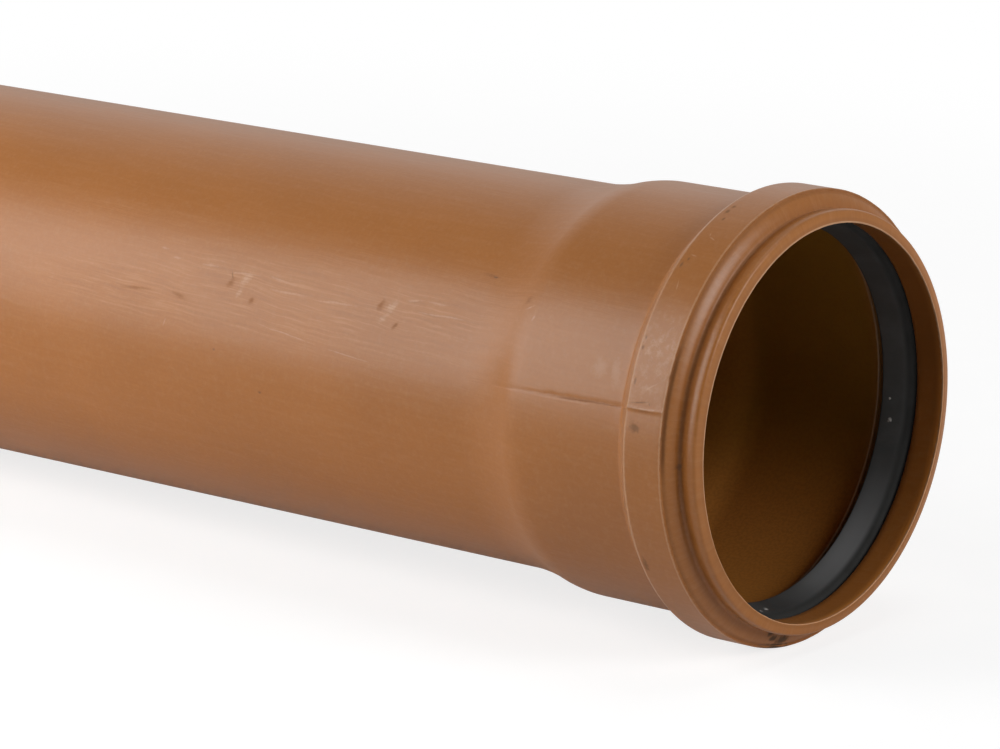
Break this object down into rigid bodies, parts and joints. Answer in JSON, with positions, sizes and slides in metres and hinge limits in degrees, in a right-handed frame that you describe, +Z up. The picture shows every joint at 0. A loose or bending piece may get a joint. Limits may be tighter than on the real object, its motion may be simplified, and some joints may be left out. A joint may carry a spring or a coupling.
{
  "type": "single socket drain pipe",
  "caption": "Smooth orange-brown plastic drain pipe with a chamfered plain end and a formed push-fit socket that holds a black rubber lip seal.",
  "frame": {"origin": "on the floor under the middle of the pipe's length, below its axis", "axes": "+X along the axis towards the socket's mouth, +Z up, the pipe lying on the band round its ring chamber"},
  "size_m": [0.562, 0.1268, 0.1267],
  "materials": {
    "pipe": "satin-gloss extruded plastic with fine lengthwise scuffs",
    "seal_ring": "satin black moulded rubber"
  },
  "bodies": {
    "root": {"pipe": "pipe", "seal_ring": "seal_ring"}
  },
  "joints": []
}
